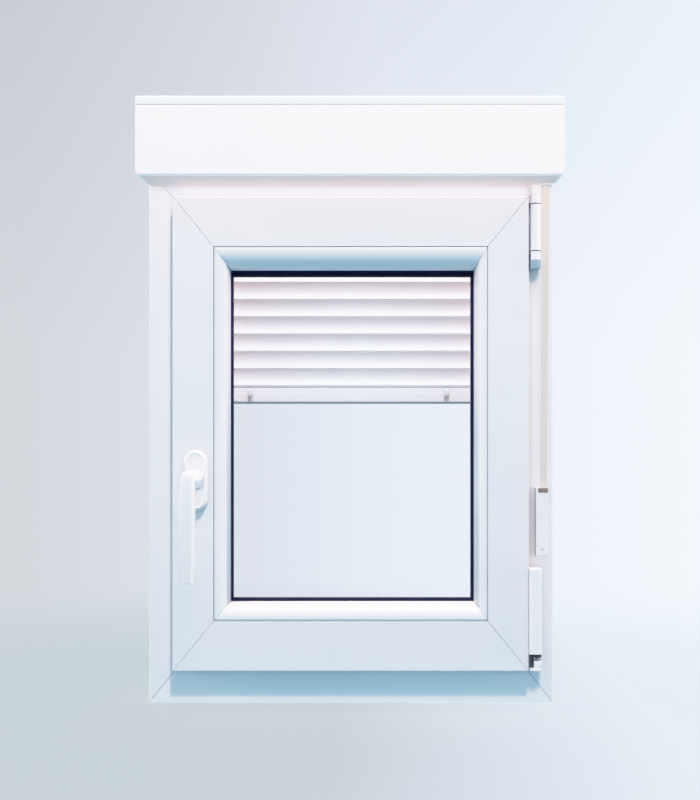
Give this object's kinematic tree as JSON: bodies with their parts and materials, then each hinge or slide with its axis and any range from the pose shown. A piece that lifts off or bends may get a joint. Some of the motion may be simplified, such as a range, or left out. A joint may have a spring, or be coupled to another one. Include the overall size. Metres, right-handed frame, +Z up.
{
  "type": "tilt-and-turn window with roller shutter",
  "caption": "White tilt-and-turn window whose head carries a box with a strap-driven roller shutter of hooked slats running in side guides.",
  "frame": {"origin": "centre of the sill's underside, half-way through the frame's width and depth", "axes": "+X to the right and +Y outdoors as seen from the room, +Z up"},
  "size_m": [0.559, 0.23, 0.8056],
  "materials": {
    "pvc": "white extruded PVC, satin",
    "bead_pvc": "white extruded PVC, satin",
    "box_pvc": "white extruded PVC, satin",
    "warm_pvc": "white PVC panel, matt",
    "seal": "dark rubber seal",
    "glass": "clear float glass",
    "spacer": "dark edge spacer",
    "lacquer": "white powder coat, semi-gloss",
    "small_plastic": "white moulded plastic",
    "steel": "zinc-plated steel",
    "dark_steel": "dark cast and plated steel",
    "slat": "white slat, satin",
    "webbing": "beige woven strap"
  },
  "bodies": {
    "root": {"frame_head": "pvc", "frame_sill": "pvc", "frame_left_jamb": "pvc", "frame_right_jamb": "pvc", "frame_seal": "seal", "striker_upper": "steel", "striker_lower": "steel", "top_hinge_bracket": "lacquer", "top_hinge_pin": "steel", "bottom_hinge_bearing": "lacquer", "box_front_cover": "box_pvc", "box_lid": "box_pvc", "box_underside": "warm_pvc", "box_floor": "pvc", "box_outer_panel": "box_pvc", "box_left_end": "box_pvc", "box_right_end": "box_pvc", "idle_bearing": "dark_steel", "left_guide": "pvc", "right_guide": "pvc", "strap": "webbing", "strap_outlet": "small_plastic", "winder_case": "small_plastic"},
    "sash_carrier": {"bottom_hinge_pivot": "dark_steel"},
    "sash": {"sash_top_rail": "pvc", "sash_bottom_rail": "pvc", "sash_left_stile": "pvc", "sash_right_stile": "pvc", "bead_top": "bead_pvc", "bead_bottom": "bead_pvc", "bead_left": "bead_pvc", "bead_right": "bead_pvc", "inner_pane": "glass", "outer_pane": "glass", "glass_spacer": "spacer", "glazing_gasket": "seal", "handle_rosette": "lacquer", "lock_gearbox": "steel", "bottom_hinge_leaf": "steel", "bottom_hinge_cover": "lacquer"},
    "stay": {"stay_arm": "lacquer"},
    "handle": {"handle_lever": "lacquer", "handle_spindle": "steel"},
    "lock": {"lock_rod": "steel"},
    "curtain": {"bottom_bar": "slat", "slat_1": "slat", "slat_2": "slat", "slat_3": "slat", "slat_4": "slat", "slat_5": "slat", "slat_6": "slat", "slat_7": "slat", "upper_slats": "slat", "left_stop": "small_plastic", "right_stop": "small_plastic"},
    "roller": {"roller_tube": "steel", "idle_end_plug": "dark_steel", "strap_pulley": "small_plastic", "wound_slats": "slat"},
    "winder": {"winder_drum": "webbing"}
  },
  "joints": [
    {"name": "sash_turn", "type": "hinge", "parent": "root", "child": "sash_carrier", "pos_m": [0.2492, -0.053, 0.06], "axis": [0, 0, 1], "range_deg": [0, 90]},
    {"name": "sash_tilt", "type": "hinge", "parent": "sash_carrier", "child": "sash", "pos_m": [0.2492, -0.053, 0.06], "axis": [1, 0, 0], "range_deg": [0, 8]},
    {"name": "stay_turn", "type": "hinge", "parent": "sash_carrier", "child": "stay", "pos_m": [0.2492, -0.053, 0.64], "axis": [0, 0, 1], "range_deg": [0, 25.5]},
    {"name": "handle_turn", "type": "hinge", "parent": "sash", "child": "handle", "pos_m": [-0.2086, -0.055, 0.3045], "axis": [0, -1, 0], "range_deg": [0, 180]},
    {"name": "lock_slide", "type": "slide", "parent": "sash", "child": "lock", "axis": [0, 0, 1], "range_m": [0, 0.0361]},
    {"name": "curtain_slide", "type": "slide", "parent": "root", "child": "curtain", "axis": [0, 0, 1], "range_m": [-0.036, 0.036]},
    {"name": "tube_spin", "type": "hinge", "parent": "root", "child": "roller", "pos_m": [0, 0.012, 0.7645], "axis": [1, 0, 0], "range_deg": [-53.5, 53.5]},
    {"name": "winder_spin", "type": "hinge", "parent": "root", "child": "winder", "pos_m": [0.2585, -0.0355, 0.246], "axis": [1, 0, 0], "range_deg": [-164, 164]}
  ],
  "couplings": [
    {"joint": "stay_turn", "follows": "sash_tilt", "ratio": 3.16},
    {"joint": "lock_slide", "follows": "handle_turn", "m_per_rad": 0.01146},
    {"joint": "tube_spin", "follows": "curtain_slide", "rad_per_m": 25.84},
    {"joint": "winder_spin", "follows": "curtain_slide", "rad_per_m": 78.9}
  ]
}
